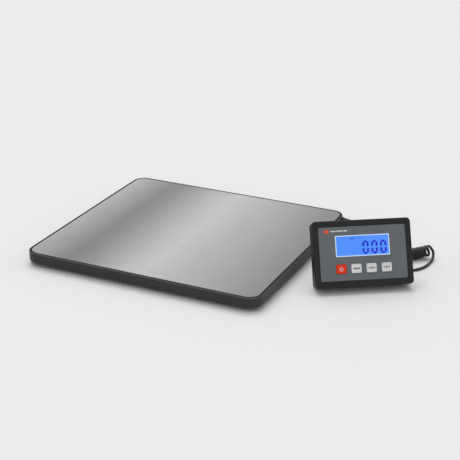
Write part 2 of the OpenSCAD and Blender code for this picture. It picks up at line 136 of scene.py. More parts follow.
class Shader:
    """A Principled material with a few short ways to add procedural detail."""

    def __init__(self, name, colour, roughness=0.5, metallic=0.0, **sockets):
        self.material = bpy.data.materials.new(name)
        self.material.use_nodes = True
        self.tree = self.material.node_tree
        self.bsdf = self.tree.nodes["Principled BSDF"]
        self.colour = (*colour, 1.0)
        self.set("Base Color", self.colour)
        self.set("Roughness", roughness)
        self.set("Metallic", metallic)
        for socket, value in sockets.items():
            self.set(socket.replace("_", " "), value)
        coordinates = self.tree.nodes.new("ShaderNodeTexCoord")
        self.place = coordinates.outputs["Object"]

    def set(self, socket, value):
        self.bsdf.inputs[socket].default_value = value

    def join(self, output, socket):
        self.tree.links.new(output, socket)

    def link(self, output, socket):
        self.join(output, self.bsdf.inputs[socket])

    def node(self, kind, **values):
        node = self.tree.nodes.new(kind)
        for key, value in values.items():
            setattr(node, key, value)
        return node

    def stretched(self, scale):
        mapping = self.node("ShaderNodeMapping")
        mapping.inputs["Scale"].default_value = scale
        self.join(self.place, mapping.inputs["Vector"])
        return mapping.outputs["Vector"]

    def coordinate(self, axis):
        """One coordinate of the place on the object."""
        split = self.node("ShaderNodeSeparateXYZ")
        self.join(self.place, split.inputs[0])
        return split.outputs[axis]

    def noise(self, scale, detail=3.0, roughness=0.55, vector=None):
        node = self.node("ShaderNodeTexNoise")
        node.inputs["Scale"].default_value = scale
        node.inputs["Detail"].default_value = detail
        node.inputs["Roughness"].default_value = roughness
        self.join(vector or self.place, node.inputs["Vector"])
        return node.outputs["Fac"]

    def ranged(self, value, low, high, from_low=NOISE_LOW, from_high=NOISE_HIGH):
        node = self.node("ShaderNodeMapRange")
        node.inputs["From Min"].default_value = from_low
        node.inputs["From Max"].default_value = from_high
        node.inputs["To Min"].default_value = low
        node.inputs["To Max"].default_value = high
        self.join(value, node.inputs["Value"])
        return node.outputs["Result"]

    def ramp(self, value, stops):
        node = self.node("ShaderNodeValToRGB")
        band = node.color_ramp
        while len(band.elements) < len(stops):
            band.elements.new(0.5)
        for element, (position, colour) in zip(band.elements, stops):
            element.position = position
            element.color = (*colour, 1.0)
        self.join(value, node.inputs["Fac"])
        return node.outputs["Color"]

    def scaled(self, colour, factor):
        node = self.node("ShaderNodeVectorMath", operation="SCALE")
        self.join(colour, node.inputs[0])
        self.join(factor, node.inputs["Scale"])
        return node.outputs["Vector"]

    def tinted(self, value, spread):
        """Base colour that varies by spread to each side with value."""
        low = [max(c * (1 - spread), 0) for c in self.colour[:3]]
        high = [min(c * (1 + spread), 1) for c in self.colour[:3]]
        self.link(self.ramp(value, [(NOISE_LOW, low), (NOISE_HIGH, high)]), "Base Color")

    def bump(self, height, strength, distance):
        node = self.node("ShaderNodeBump")
        node.inputs["Strength"].default_value = strength
        node.inputs["Distance"].default_value = distance
        self.join(height, node.inputs["Height"])
        self.link(node.outputs["Normal"], "Normal")


MOULD_GRAIN = 1400
MOULD_DEPTH = 0.02 * MM
MOULD_SPREAD = 0.09
FINE_GRAIN = {"grain": 2600, "depth": 0.01 * MM}


def moulded_surface(shader, roughness, grain=MOULD_GRAIN, depth=MOULD_DEPTH):
    """Adds a fine spark-eroded grain and uneven gloss, and returns the broad unevenness."""
    fine = shader.noise(grain, 2.0)
    broad = shader.noise(28, 2.0)
    shader.link(shader.ranged(broad, roughness - 0.04, roughness + 0.04), "Roughness")
    shader.bump(fine, 0.35, depth)
    return broad


def moulded(name, colour, roughness, grain=MOULD_GRAIN, depth=MOULD_DEPTH, **sockets):
    """Injection-moulded plastic."""
    shader = Shader(name, colour, roughness, **sockets)
    shader.tinted(moulded_surface(shader, roughness, grain, depth), MOULD_SPREAD)
    return shader.material


def shell_plastic():
    """Moulded black, with painted shade that darkens the rim's top and a painted glint that lightens its outer
    edge.
    """
    # Painted light: the lighter band on the outer edge radius is a painted glint, and the near-black rim top is
    # painted shade
    wall, painted_glint, painted_shade_top = (0.046, 0.046, 0.047), (0.100, 0.100, 0.103), (0.003, 0.003, 0.003)
    roughness, top = 0.36, shell_high.z
    shader = Shader("platform_plastic", wall, roughness, Specular_IOR_Level=0.1)
    broad = moulded_surface(shader, roughness)
    height = shader.ranged(shader.coordinate("Z"), 0, 1, top - 2 * MM, top)
    painted_light_bands = shader.ramp(height, [(0.30, wall), (0.50, painted_glint), (0.90, painted_glint), (0.97, painted_shade_top)])
    uneven = shader.ranged(broad, 1 - MOULD_SPREAD, 1 + MOULD_SPREAD)
    shader.link(shader.scaled(painted_light_bands, uneven), "Base Color")
    return shader.material


def plated(name, colour, roughness):
    """Plated steel, a little uneven."""
    shader = Shader(name, colour, roughness, metallic=1.0)
    cloud = shader.noise(160, 3.0)
    shader.tinted(cloud, 0.06)
    shader.link(shader.ranged(cloud, roughness - 0.08, roughness + 0.08), "Roughness")
    shader.bump(shader.noise(1200), 0.15, 0.01 * MM)
    return shader.material


# Base grey of the steel at places along X from the middle of its bands of painted reflection
STEEL_PAINTED_REFLECTIONS = [
    (-0.165, 0.337), (-0.103, 0.168), (-0.085, 0.185), (-0.02, 0.330), (0.004, 0.362),
    (0.03, 0.323), (0.10, 0.235), (0.165, 0.157),
]
STEEL_MIDDLE = platform_x + 0.005
STEEL_WANDER = 0.010


def brushed_plate():
    """Steel brushed across the platform's width, with broad bands of painted reflection along its depth."""
    shader = Shader("brushed_steel", (0.45, 0.45, 0.45), 0.36, metallic=1.0)
    shader.set("Anisotropic", 0.9)
    tangent = shader.node("ShaderNodeTangent", direction_type="UV_MAP", uv_map="grain")
    shader.link(tangent.outputs["Tangent"], "Tangent")
    wander = shader.noise(1.0, 2.0, 0.5, shader.stretched((4, 60, 1)))
    shifted = shader.node("ShaderNodeMath", operation="MULTIPLY_ADD")
    shifted.inputs[1].default_value = STEEL_WANDER
    shader.join(wander, shifted.inputs[0])
    shader.join(shader.coordinate("X"), shifted.inputs[2])
    low, high = STEEL_PAINTED_REFLECTIONS[0][0], STEEL_PAINTED_REFLECTIONS[-1][0]
    along = shader.ranged(shifted.outputs[0], 0, 1, STEEL_MIDDLE + low, STEEL_MIDDLE + high)
    stops = [((x - low) / (high - low), (grey,) * 3) for x, grey in STEEL_PAINTED_REFLECTIONS]
    # The base colour is painted with bands of reflection that stand in for the studio's light
    painted_light_bands = shader.ramp(along, stops)
    lines = shader.noise(1.0, 4.0, 0.65, shader.stretched((7, 900, 1)))
    streaks = shader.noise(1.0, 3.0, 0.6, shader.stretched((26, 300, 1)))
    grain = shader.node("ShaderNodeMath", operation="ADD")
    shader.join(shader.ranged(streaks, 0.93, 1.07), grain.inputs[0])
    shader.join(shader.ranged(lines, -0.04, 0.04), grain.inputs[1])
    shader.link(shader.scaled(painted_light_bands, grain.outputs[0]), "Base Color")
    shader.link(shader.ranged(streaks, 0.32, 0.41), "Roughness")
    shader.bump(lines, 0.12, 0.02 * MM)
    return shader.material


def rubber(name, colour, roughness):
    shader = Shader(name, colour, roughness)
    shader.tinted(shader.noise(60, 3.0), 0.12)
    shader.bump(shader.noise(2200, 2.0), 0.25, 0.02 * MM)
    return shader.material


def clear_window():
    shader = Shader("clear_window", (0.95, 0.97, 1.0), 0.06, Specular_IOR_Level=0.1)
    shader.set("Alpha", 0.015)
    shader.link(shader.ranged(shader.noise(90), 0.04, 0.09), "Roughness")
    return shader.material


def lit_screen():
    """Blue backlit LCD, lit a little unevenly."""
    shader = Shader("lcd_blue", (0.01, 0.02, 0.06), 0.35, Specular_IOR_Level=0.1)
    shader.set("Emission Strength", 0.97)
    cloud = shader.noise(45, 2.0)
    dim, bright = (0.058, 0.250, 0.95), (0.084, 0.287, 0.99)
    glow = shader.ramp(cloud, [(NOISE_LOW, dim), (NOISE_HIGH, bright)])
    shader.link(glow, "Emission Color")
    return shader.material


def glowing(name, glow, strength):
    """Something lit from behind, which reflects little of its own."""
    shader = Shader(name, [0.1 * c for c in glow], 0.4, Specular_IOR_Level=0.1)
    shader.tinted(shader.noise(300), 0.05)
    shader.set("Emission Color", (*glow, 1.0))
    shader.set("Emission Strength", strength)
    return shader.material


def circuit_board():
    board, tint, track = (0.015, 0.14, 0.06), (0.02, 0.19, 0.08), (0.03, 0.26, 0.11)
    shader = Shader("circuit_board", board, 0.3, Coat_Weight=0.4)
    tracks = shader.node("ShaderNodeTexBrick")
    tracks.inputs["Scale"].default_value = 160
    for socket, colour in (("Color1", board), ("Color2", tint), ("Mortar", track)):
        tracks.inputs[socket].default_value = (*colour, 1)
    shader.join(shader.place, tracks.inputs["Vector"])
    shader.link(tracks.outputs["Color"], "Base Color")
    return shader.material


SOFT_BLACK = (0.012, 0.012, 0.013)
MATERIALS = {
    "steel_plate": brushed_plate(),
    "platform_plastic": shell_plastic(),
    "bezel_plastic": moulded("bezel_plastic", (0.010, 0.011, 0.011), 0.45,
                             Specular_IOR_Level=0.35),
    "cover_plastic": moulded("cover_plastic", SOFT_BLACK, 0.52, Specular_IOR_Level=0.35),
    "bracket_plastic": moulded("bracket_plastic", (0.04, 0.04, 0.043), 0.5),
    "foot_plastic": moulded("foot_plastic", SOFT_BLACK, 0.5),
    "panel_grey": moulded("panel_grey", (0.128, 0.141, 0.150), 0.45, **FINE_GRAIN),
    "key_red": moulded("key_red", (0.80, 0.036, 0.001), 0.45, **FINE_GRAIN,
                       Specular_IOR_Level=0.25),
    "key_grey": moulded("key_grey", (0.76, 0.765, 0.775), 0.4, **FINE_GRAIN),
    "white_plastic": moulded("white_plastic", (0.8, 0.81, 0.82), 0.4),
    "chip_black": moulded("chip_black", SOFT_BLACK, 0.45, grain=3000),
    "cord_rubber": rubber("cord_rubber", (0.018, 0.018, 0.019), 0.42),
    "foot_rubber": rubber("foot_rubber", (0.016, 0.016, 0.016), 0.75),
    "wire": rubber("wire", (0.50, 0.03, 0.02), 0.4),
    "zinc_steel": plated("zinc_steel", (0.55, 0.56, 0.57), 0.38),
    "screw_steel": plated("screw_steel", (0.58, 0.58, 0.6), 0.28),
    "screw_dark": plated("screw_dark", (0.07, 0.07, 0.075), 0.35),
    "contact_metal": plated("contact_metal", (0.66, 0.65, 0.60), 0.3),
    "circuit_board": circuit_board(),
    "clear_window": clear_window(),
    "lcd_blue": lit_screen(),
    "battery_skin": moulded("battery_skin", (0.05, 0.12, 0.32), 0.25, grain=400),
    "lcd_ink": glowing("lcd_ink", (0.0, 0.012, 0.62), 0.9),
    "lcd_border": glowing("lcd_border", (0.62, 0.79, 0.97), 0.90),
    "print_dark": moulded("print_dark", (0.03, 0.031, 0.034), 0.5),
    "print_white": moulded("print_white", (0.72, 0.73, 0.74), 0.5),
    "print_orange": moulded("print_orange", (0.80, 0.085, 0.018), 0.45),
}


# ---- mesh helpers -------------------------------------------------------------

ARC_STEPS = 10
SMALLEST_R = 0.02 * MM
MERGE_DISTANCE = 1e-7
# A turned body is closed with a ring this small on its axis, whose points are then merged
AXIS_R = 1e-6
AXIS_MERGE_DISTANCE = 5e-6
# Edges steeper than this are sharp, in degrees
SHARP_ANGLE = 40
TURNED_SHARP_ANGLE = 35


def outline(shape, inset=0.0, steps=ARC_STEPS):
    """Points round a rounded rectangle (x, y, width, height, radius), made smaller by inset."""
    x, y, w, h, r = shape
    w, h, r = w - 2 * inset, h - 2 * inset, max(r - inset, SMALLEST_R)
    points = []
    for quarter, (sx, sy) in enumerate(((1, 1), (-1, 1), (-1, -1), (1, -1))):
        for k in range(steps + 1):
            angle = math.pi / 2 * (quarter + k / steps)
            points.append((x + sx * (w / 2 - r) + r * math.cos(angle),
                           y + sy * (h / 2 - r) + r * math.sin(angle)))
    return points


def disc(x, y, r):
    return (x, y, 2 * r, 2 * r, r)


def arc(centre, r, start, end, steps=5):
    """Points on an arc in (inset, height), angles in degrees."""
    return [(centre[0] + r * math.cos(math.radians(start + (end - start) * k / steps)),
             centre[1] + r * math.sin(math.radians(start + (end - start) * k / steps)))
            for k in range(steps + 1)]


def add_ring(bm, points, height):
    return [bm.verts.new((p[0], p[1], height)) for p in points]


def join_rings(bm, a, b):
    for k in range(len(a)):
        n = (k + 1) % len(a)
        bm.faces.new((a[k], a[n], b[n], b[k]))


def encloses(ring, x, y):
    """Whether a ring of vertices goes round the place (x, y)."""
    inside = False
    for a, b in zip(ring, ring[1:] + ring[:1]):
        if (a.co.y > y) != (b.co.y > y):
            if x < a.co.x + (y - a.co.y) * (b.co.x - a.co.x) / (b.co.y - a.co.y):
                inside = not inside
    return inside


def fill(bm, rings):
    """Fills the first ring with triangles, and leaves the other rings open as holes in it."""
    verts = [vert for ring in rings for vert in ring]
    edges = []
    for ring in rings:
        first = len(edges)
        edges += [(first + k, first + (k + 1) % len(ring)) for k in range(len(ring))]
    flat = [vert.co.to_2d() for vert in verts]
    triangles, source = delaunay_2d_cdt(flat, edges, [], 0, MERGE_DISTANCE)[2:4]
    for triangle in triangles:
        corners = [verts[source[k][0]] for k in triangle]
        x = sum(vert.co.x for vert in corners) / 3
        y = sum(vert.co.y for vert in corners) / 3
        if encloses(rings[0], x, y) and not any(encloses(hole, x, y) for hole in rings[1:]):
            bm.faces.new(corners)


def weigh_normals(obj):
    """Keeps large flat faces flat where they meet rounded edges."""
    weighted = obj.modifiers.new("weighted", "WEIGHTED_NORMAL")
    weighted.weight = 100
    weighted.keep_sharp = True


def finish_mesh(bm, name, material, matrix=None, smooth=SHARP_ANGLE):
    """Turns bm into an object, with sharp edges only where faces meet steeply."""
    bmesh.ops.remove_doubles(bm, verts=bm.verts, dist=MERGE_DISTANCE)
    bmesh.ops.recalc_face_normals(bm, faces=bm.faces)
    if matrix is not None:
        bm.transform(matrix)
    mesh = bpy.data.meshes.new(name)
    bm.to_mesh(mesh)
    bm.free()
    for polygon in mesh.polygons:
        polygon.use_smooth = True
    mesh.set_sharp_from_angle(angle=math.radians(smooth))
    obj = bpy.data.objects.new(name, mesh)
    bpy.context.scene.collection.objects.link(obj)
    mesh.materials.append(MATERIALS[material])
    weigh_normals(obj)
    return obj


def sweep(bm, shape, profile):
    """Sweeps an outline through profile's (inset, height) points, and returns its end rings."""
    rings = [add_ring(bm, outline(shape, inset), height) for inset, height in profile]
    for a, b in zip(rings, rings[1:]):
        join_rings(bm, a, b)
    return rings[0], rings[-1]


def hole_path(start, end, bevel):
    """(inset, height) points down the wall of a hole, bevelled at both ends."""
    if bevel == 0:
        return [(0, start), (0, end)]
    step = bevel if end > start else -bevel
    return [(-bevel, start), (0, start + step), (0, end - step), (-bevel, end)]


def profiled(name, material, shape, profile, matrix=None, holes=()):
    """A closed body: the outline swept through profile's (inset, height) points, closed by
    a face at both ends. Each hole is (shape, bevel) and runs from one end face to the other."""
    bm = bmesh.new()
    first, last = sweep(bm, shape, profile)
    ends = [first], [last]
    for hole, bevel in holes:
        path = hole_path(profile[0][1], profile[-1][1], bevel)
        for end, ring in zip(ends, sweep(bm, hole, path)):
            end.append(ring)
    for end in ends:
        fill(bm, end)
    return finish_mesh(bm, name, material, matrix)


def edge_profile(back, front, bevel_back, bevel_front):
    """Outer profile of a plate from its back face to its front face, with rounded edges."""
    low = arc((bevel_back, back + bevel_back), bevel_back, 270, 180, 4)
    high = arc((bevel_front, front - bevel_front), bevel_front, 180, 90, 4)
    return low + high


def plate(name, material, shape, back, front, bevel, matrix=None, holes=(), bevel_back=None):
    low = bevel if bevel_back is None else bevel_back
    return profiled(name, material, shape, edge_profile(back, front, low, bevel), matrix, holes)


def lathe(name, material, profile, matrix=None, sides=48):
    """A turned body from (radius, height) points; a radius of 0 closes an end."""
    bm = bmesh.new()
    rings = []
    for radius, height in profile:
        r = max(radius, AXIS_R)
        rings.append([bm.verts.new((r * math.cos(2 * math.pi * k / sides),
                                    r * math.sin(2 * math.pi * k / sides), height))
                      for k in range(sides)])
    for a, b in zip(rings, rings[1:]):
        join_rings(bm, a, b)
    bmesh.ops.remove_doubles(bm, verts=bm.verts, dist=AXIS_MERGE_DISTANCE)
    return finish_mesh(bm, name, material, matrix, TURNED_SHARP_ANGLE)


def flat_print(name, material, polygons, height, thickness):
    """Thin raised print on the display's face: closed polygons of (x, y) points."""
    bm = bmesh.new()
    for points in polygons:
        low = [bm.verts.new((x, y, height)) for x, y in points]
        high = [bm.verts.new((x, y, height + thickness)) for x, y in points]
        bm.faces.new(high)
        bm.faces.new(low[::-1])
        join_rings(bm, low, high)
    return finish_mesh(bm, name, material, FACE)


def put(obj, body, replaced=()):
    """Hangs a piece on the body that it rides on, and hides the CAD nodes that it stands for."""
    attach(obj, body)
    if replaced:
        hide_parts(*([replaced] if isinstance(replaced, str) else replaced))
    return obj


def soften(obj, width):
    """Rounds a CAD node's edges with modifiers, which leave its mesh as it is."""
    weld = obj.modifiers.new("weld", "WELD")
    weld.merge_threshold = 0.004 * MM
    planar = obj.modifiers.new("planar", "DECIMATE")
    planar.decimate_type = "DISSOLVE"
    planar.angle_limit = math.radians(0.6)
    bevel = obj.modifiers.new("bevel", "BEVEL")
    bevel.width = width
    bevel.segments = 2
    bevel.limit_method = "ANGLE"
    bevel.angle_limit = math.radians(SHARP_ANGLE)
    weigh_normals(obj)
    for polygon in obj.data.polygons:
        polygon.use_smooth = True


# ---- cord -------------------------------------------------------------------------

CORD_D = 3.5 * MM
COIL_D = 15.5 * MM
PITCH = 3.62 * MM
FIRST_PITCH = 28 * MM
WIDENING = 21 * MM
LAST_PITCH = 4.1 * MM
TAIL = 16 * MM
POINTS_PER_TURN = 24
AXIS_STEPS = 400
COIL_CLEARANCE = 0.02 * MM
LEAD_PLATFORM = [
    (103, 138, 11.7), (107, 138, 11.3), (112.5, 137, 9.3), (117.5, 134, 6.2),
    (121.8, 128.5, 3.7), (124.6, 121, 2.3), (126.4, 112, 1.8), (127.4, 102, 1.75),
    (127.8, 91, 1.75), (127.6, 80, 1.75), (126.6, 69, 1.75), (125, 57, 1.75),
    (122.8, 45, 1.75), (120.3, 34, 1.75), (118.6, 24, 1.8), (119.2, 15.6, 2.3),
    (122.4, 9.4, 3.5), (127.6, 7.2, 5.2), (133.4, 9.7, 6.9), (139, 14.7, 7.75),
]
COIL_AXIS = [
    (139, 14.7, 7.75), (160, 33.6, 7.75), (185, 56.1, 7.75), (205, 74.1, 7.75),
    (213, 81.3, 7.9), (218, 85.8, 8.4), (222.2, 88.6, 9.4), (226, 89.4, 10.7),
    (229.5, 88.4, 12),
]
LEAD_DISPLAY = [
    (232.3, 93.7, 12), (233.8, 93.2, 8.8), (234.9, 91.3, 5.9), (235.5, 88, 3.8),
    (235.8, 84, 2.5), (235.9, 79.6, 1.9), (235.7, 74.5, 1.75), (234.9, 67.8, 1.75),
    (233.4, 60.5, 1.75), (230.6, 53.4, 1.75), (226.2, 47, 1.75), (221, 41.6, 1.75),
    (215.4, 36.4, 1.75), (210, 30.8, 1.75), (206, 25, 1.75), (204.2, 19.4, 1.9),
    (204.6, 14.6, 2.9), (206.6, 10, 5.05),
]


def smooth_path(points, steps=4):
    """Catmull-Rom curve through points, in metres."""
    p = [Vector(q) * MM for q in points]
    p = [2 * p[0] - p[1]] + p + [2 * p[-1] - p[-2]]
    line = []
    for a, b, c, d in zip(p, p[1:], p[2:], p[3:]):
        for k in range(steps):
            t = k / steps
            line.append(0.5 * ((2 * b) + (c - a) * t + (2 * a - 5 * b + 4 * c - d) * t * t
                               + (3 * b - a - 3 * c + d) * t ** 3))
    line.append(p[-2])
    return line


def eased(t):
    t = min(max(t, 0.0), 1.0)
    return t * t * (3 - 2 * t)


def coil_path():
    """The curly part: turns side by side along the coil's axis, which turns towards its end."""
    axis = smooth_path(COIL_AXIS, AXIS_STEPS)
    radius = (COIL_D - CORD_D) / 2 - COIL_CLEARANCE
    long = polyline(axis)
    run, angle = 0.0, 0.0
    turns = []
    for a, b in zip(axis, axis[1:]):
        along = (b - a).normalized()
        side = along.cross(Vector((0, 0, 1))).normalized()
        if not turns or angle - turns[-1][3] > 2 * math.pi / POINTS_PER_TURN:
            turns.append((a, side, side.cross(along), angle, eased(run / WIDENING)))
        step = (b - a).length
        pitch = PITCH + (FIRST_PITCH - PITCH) * (1 - eased(run / FIRST_PITCH))
        pitch += (LAST_PITCH - PITCH) * eased((run - long + TAIL) / (TAIL / 2))
        run += step
        angle += 2 * math.pi * step / pitch
    finish = math.pi - angle
    return [place + radius * grow * (math.cos(turn + finish) * side + math.sin(turn + finish) * up)
            for place, side, up, turn, grow in turns]


def polyline(path):
    return sum((b - a).length for a, b in zip(path, path[1:]))


def make_cord():
    path = smooth_path(LEAD_PLATFORM)[:-1] + coil_path() + smooth_path(LEAD_DISPLAY)
    curve = bpy.data.curves.new("curly_cord", "CURVE")
    curve.dimensions = "3D"
    curve.bevel_depth = CORD_D / 2
    curve.bevel_resolution = 5
    curve.use_fill_caps = True
    spline = curve.splines.new("POLY")
    spline.points.add(len(path) - 1)
    for point, place in zip(spline.points, path):
        point.co = (*place, 1)
    spline.use_smooth = True
    cord = bpy.data.objects.new("curly_cord", curve)
    bpy.context.scene.collection.objects.link(cord)
    curve.materials.append(MATERIALS["cord_rubber"])
    put(cord, "base", ("cord_lead_platform", "cord_coil", "cord_lead_display"))


make_cord()


# ---- platform -----------------------------------------------------------------------

PLATE_EDGE = 0.35 * MM
PLATE_BACK_EDGE = 0.1 * MM
SHELL_EDGE = 1.3 * MM
SHELL_FOOT_EDGE = 1.6 * MM
SHELL_LIP = 0.35 * MM
SHELL_CHAMFER = 0.4 * MM
COVER_GAP = 0.4 * MM
COVER_FOOT_HOLE = 5 * MM
COVER_SCREW_HOLE = 3.2 * MM
# Places of the screws in base_screws, in millimetres from the platform's middle
BASE_SCREWS = [(-153, -139), (-155, 0), (-153, 139), (0, -143), (0, 143), (153, -139),
               (155, 0), (153, 139)]


def make_weighing_plate():
    low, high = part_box("weighing_plate")
    shape = (platform_x, platform_y, high.x - low.x, high.y - low.y, PLATFORM_R - RIM)
    obj = plate("steel_weighing_plate", "steel_plate", shape, low.z, high.z, PLATE_EDGE,
                bevel_back=PLATE_BACK_EDGE)
    layer = obj.data.uv_layers.new(name="grain")
    for loop in obj.data.loops:
        place = obj.data.vertices[loop.vertex_index].co
        layer.data[loop.index].uv = (place.y, place.x)
    put(obj, "deck", "weighing_plate")


def make_platform_shell():
    low, high = shell_low.z, shell_high.z
    edge, foot_edge, lip = SHELL_EDGE, SHELL_FOOT_EDGE, SHELL_LIP
    profile = [(WALL, deck_top - DECK_T), (WALL, low + SHELL_CHAMFER), (WALL - SHELL_CHAMFER, low)]
    profile += arc((foot_edge, low + foot_edge), foot_edge, 270, 180)
    profile += arc((edge, high - edge), edge, 180, 90)
    profile += arc((RIM - lip, high - lip), lip, 90, 0, 3)
    profile += [(RIM, deck_top)]
    obj = profiled("platform_shell_moulding", "platform_plastic", platform_shape, profile)
    put(obj, "deck", "platform_shell")


def make_base_cover():
    low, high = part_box("base_cover")
    shape = (platform_x, platform_y, high.x - low.x, high.y - low.y,
             PLATFORM_R - WALL - COVER_GAP)
    holes = []
    for node in sorted(n for n in nodes if n.startswith("foot_") and "pad" not in n):
        a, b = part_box(node)
        holes.append((disc((a.x + b.x) / 2, (a.y + b.y) / 2, COVER_FOOT_HOLE), 0.3 * MM))
    for x, y in BASE_SCREWS:
        hole = disc(platform_x + x * MM, platform_y + y * MM, COVER_SCREW_HOLE)
        holes.append((hole, 0.2 * MM))
    obj = plate("base_cover_plate", "platform_plastic", shape, low.z, high.z, 0.3 * MM,
                holes=holes)
    put(obj, "deck", "base_cover")


FOOT_DISC_TOP = 3.9 * MM
FOOT_NECK_R = 3.5 * MM
FOOT_PLAY = 0.02 * MM
PAD_GROOVE = 0.4 * MM
PAD_RINGS = 3
PAD_RING_START = 1.6 * MM
PAD_RING_PITCH = 3 * MM


def foot_profile(r, low, top):
    """A foot's disc with rounded edges, and the neck that the load cell stands on."""
    neck, disc_top = FOOT_NECK_R, FOOT_DISC_TOP
    return [(0, low), (r - 0.8 * MM, low), (r - 0.1 * MM, low + 0.5 * MM), (r, low + 1 * MM),
            (r - 0.2 * MM, disc_top - 0.3 * MM), (r - 0.6 * MM, disc_top),
            (neck + 0.8 * MM, disc_top), (neck, disc_top + 0.5 * MM),
            (neck, top - 1 * MM), (neck - 1 * MM, top), (0, top)]


def pad_profile(r, top):
    """A rubber pad with ring-shaped grooves in its underside."""
    profile = [(0, top), (r, top), (r, PAD_GROOVE), (r - 0.4 * MM, 0)]
    for ring in range(PAD_RINGS):
        outer = r - (PAD_RING_START + PAD_RING_PITCH * ring)
        profile += [(outer, 0), (outer - 0.4 * MM, PAD_GROOVE), (outer - 1.0 * MM, PAD_GROOVE),
                    (outer - 1.4 * MM, 0)]
    return profile + [(0, 0)]


def make_feet():
    """The feet end below the load cells by the deck's travel, so that it doesn't cut into them."""
    for end in ("front_left", "front_right", "rear_left", "rear_right"):
        a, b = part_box("foot_" + end)
        pad_low, pad_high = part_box("foot_pad_" + end)
        centre = Matrix.Translation(((a.x + b.x) / 2, (a.y + b.y) / 2, 0))
        foot = foot_profile((b.x - a.x) / 2, a.z, b.z - (PRESS + FOOT_PLAY))
        put(lathe("foot_" + end + "_turned", "foot_plastic", foot, centre), "base",
            "foot_" + end)
        pad = pad_profile((pad_high.x - pad_low.x) / 2, pad_high.z)
        put(lathe("foot_pad_" + end + "_rubber", "foot_rubber", pad, centre), "base",
            "foot_pad_" + end)


BOOT_START = -1.5 * MM
BOOT_FLANGE_T = 1.5 * MM
BOOT_TIP_R = 2.7 * MM
BOOT_RIBS = 4
BOOT_RIB_H = 0.45 * MM
BOOT_PLAY = 0.02 * MM


def boot_profile(length, flange_r, play, flange_t=BOOT_FLANGE_T):
    """A strain relief seen along its axis: flange, then a ribbed taper."""
    bore = CORD_D / 2 + play
    root_r, tip_r = flange_r - 0.8 * MM, BOOT_TIP_R
    profile = [(bore, BOOT_START), (flange_r, BOOT_START), (flange_r, flange_t - 0.4 * MM),
               (flange_r - 0.4 * MM, flange_t), (root_r, flange_t)]
    step = (length - flange_t - 1 * MM) / BOOT_RIBS
    for k in range(BOOT_RIBS):
        z = flange_t + step * k
        r = root_r + (tip_r - root_r) * k / BOOT_RIBS
        n = root_r + (tip_r - root_r) * (k + 1) / BOOT_RIBS
        profile += [(r, z + 0.15 * step), (r, z + 0.55 * step),
                    (r - BOOT_RIB_H, z + 0.65 * step), (n - BOOT_RIB_H, z + 0.95 * step)]
    profile += [(tip_r, length - 0.9 * MM), (tip_r, length - 0.4 * MM),
                (tip_r - 0.4 * MM, length), (bore, length), (bore, BOOT_START)]
    return profile


def make_platform_boot():
    """Its bore is wide enough for the cord to keep still while the deck sinks."""
    low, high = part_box("platform_cord_boot")
    wall_x = shell_high.x
    y, z = (low.y + high.y) / 2, (low.z + high.z) / 2
    matrix = Matrix.Translation((wall_x, y, z)) @ Matrix.Rotation(math.pi / 2, 4, "Y")
    profile = boot_profile(high.x - wall_x, 4.6 * MM, PRESS)
    obj = lathe("platform_strain_relief", "cord_rubber", profile, matrix, 40)
    put(obj, "deck", "platform_cord_boot")


make_weighing_plate()
make_platform_shell()
make_base_cover()
make_feet()
make_platform_boot()


# ---- display housing ------------------------------------------------------------------

FACE_MIDDLE = (0, DISPLAY_H / 2)
BEZEL_WALL = 2 * MM
BEZEL_EDGE = 1.5 * MM
BEZEL_LIP = 0.45 * MM
BEZEL_CHAMFER = 0.3 * MM
KEY_R = 1.5 * MM
STEM_R = 2 * MM
# Places in the face's local Z, where 0 is the bezel's front
BEZEL_INSIDE = -2.8 * MM
PANEL_BACK = -1.3 * MM
PANEL_FRONT = -0.3 * MM
LCD_BACK = -3.0 * MM
LCD_FRONT = -1.35 * MM
BORDER_BACK = -1.34 * MM
BORDER_FRONT = -0.62 * MM
WINDOW_BACK = -0.6 * MM
WINDOW_FRONT = -0.32 * MM
KEY_TOP = 0.3 * MM
KEY_MIDDLE = 0.18 * MM
CAP_BACK = -3.0 * MM
FLANGE_BACK = -3.8 * MM
STEM_BACK = -5.2 * MM
KEYS = ("power", "mode", "hold", "tare")


def key_x(name):
    return (KEYS.index(name) - 1.5) * KEY_PITCH


def key_shape(name, grow=0.0):
    return (key_x(name), KEY_UP, KEY_W + 2 * grow, KEY_H + 2 * grow, KEY_R + grow)


def face_holes(bevel):
    holes = [((0, LCD_UP, LCD_W + 0.4 * MM, LCD_H + 0.4 * MM, 0.8 * MM), bevel)]
    return holes + [(key_shape(name, KEY_SLACK), bevel) for name in KEYS]


def make_front_bezel():
    shape = (*FACE_MIDDLE, DISPLAY_W, DISPLAY_H, DISPLAY_R)
    edge, lip = BEZEL_EDGE, BEZEL_LIP
    side = (DISPLAY_W - PANEL_W) / 2
    profile = [(BEZEL_WALL, BEZEL_INSIDE), (BEZEL_WALL, -BEZEL_DEPTH),
               (BEZEL_CHAMFER, -BEZEL_DEPTH), (0, -BEZEL_DEPTH + BEZEL_CHAMFER)]
    profile += arc((edge, -edge), edge, 180, 90, 7)
    profile += arc((side - lip, -lip), lip, 90, 0, 4)
    profile += [(side, PANEL_BACK)]
    obj = profiled("front_bezel_moulding", "bezel_plastic", shape, profile, FACE, face_holes(0))
    put(obj, "base", "front_bezel")


def make_front_panel():
    shape = (*FACE_MIDDLE, PANEL_W - 0.2 * MM, PANEL_H - 0.2 * MM, PANEL_R - 0.1 * MM)
    obj = plate("front_panel_overlay", "panel_grey", shape, PANEL_BACK, PANEL_FRONT, 0.12 * MM,
                FACE, face_holes(0.1 * MM))
    put(obj, "base", "front_panel")


EMBLEM_X = -PANEL_W / 2 + 10.2 * MM
EMBLEM_UP = BEZEL_LOW + 61.4 * MM
EMBLEM_W = 6.4 * MM
EMBLEM_H = 4.8 * MM
DASHES_START = 5.4 * MM
DASH_WIDTHS = (6.4 * MM, 8.0 * MM, 4.6 * MM)
DASH_H = 1.5 * MM
DASH_GAP = 0.8 * MM
PANEL_PRINT_T = 0.06 * MM


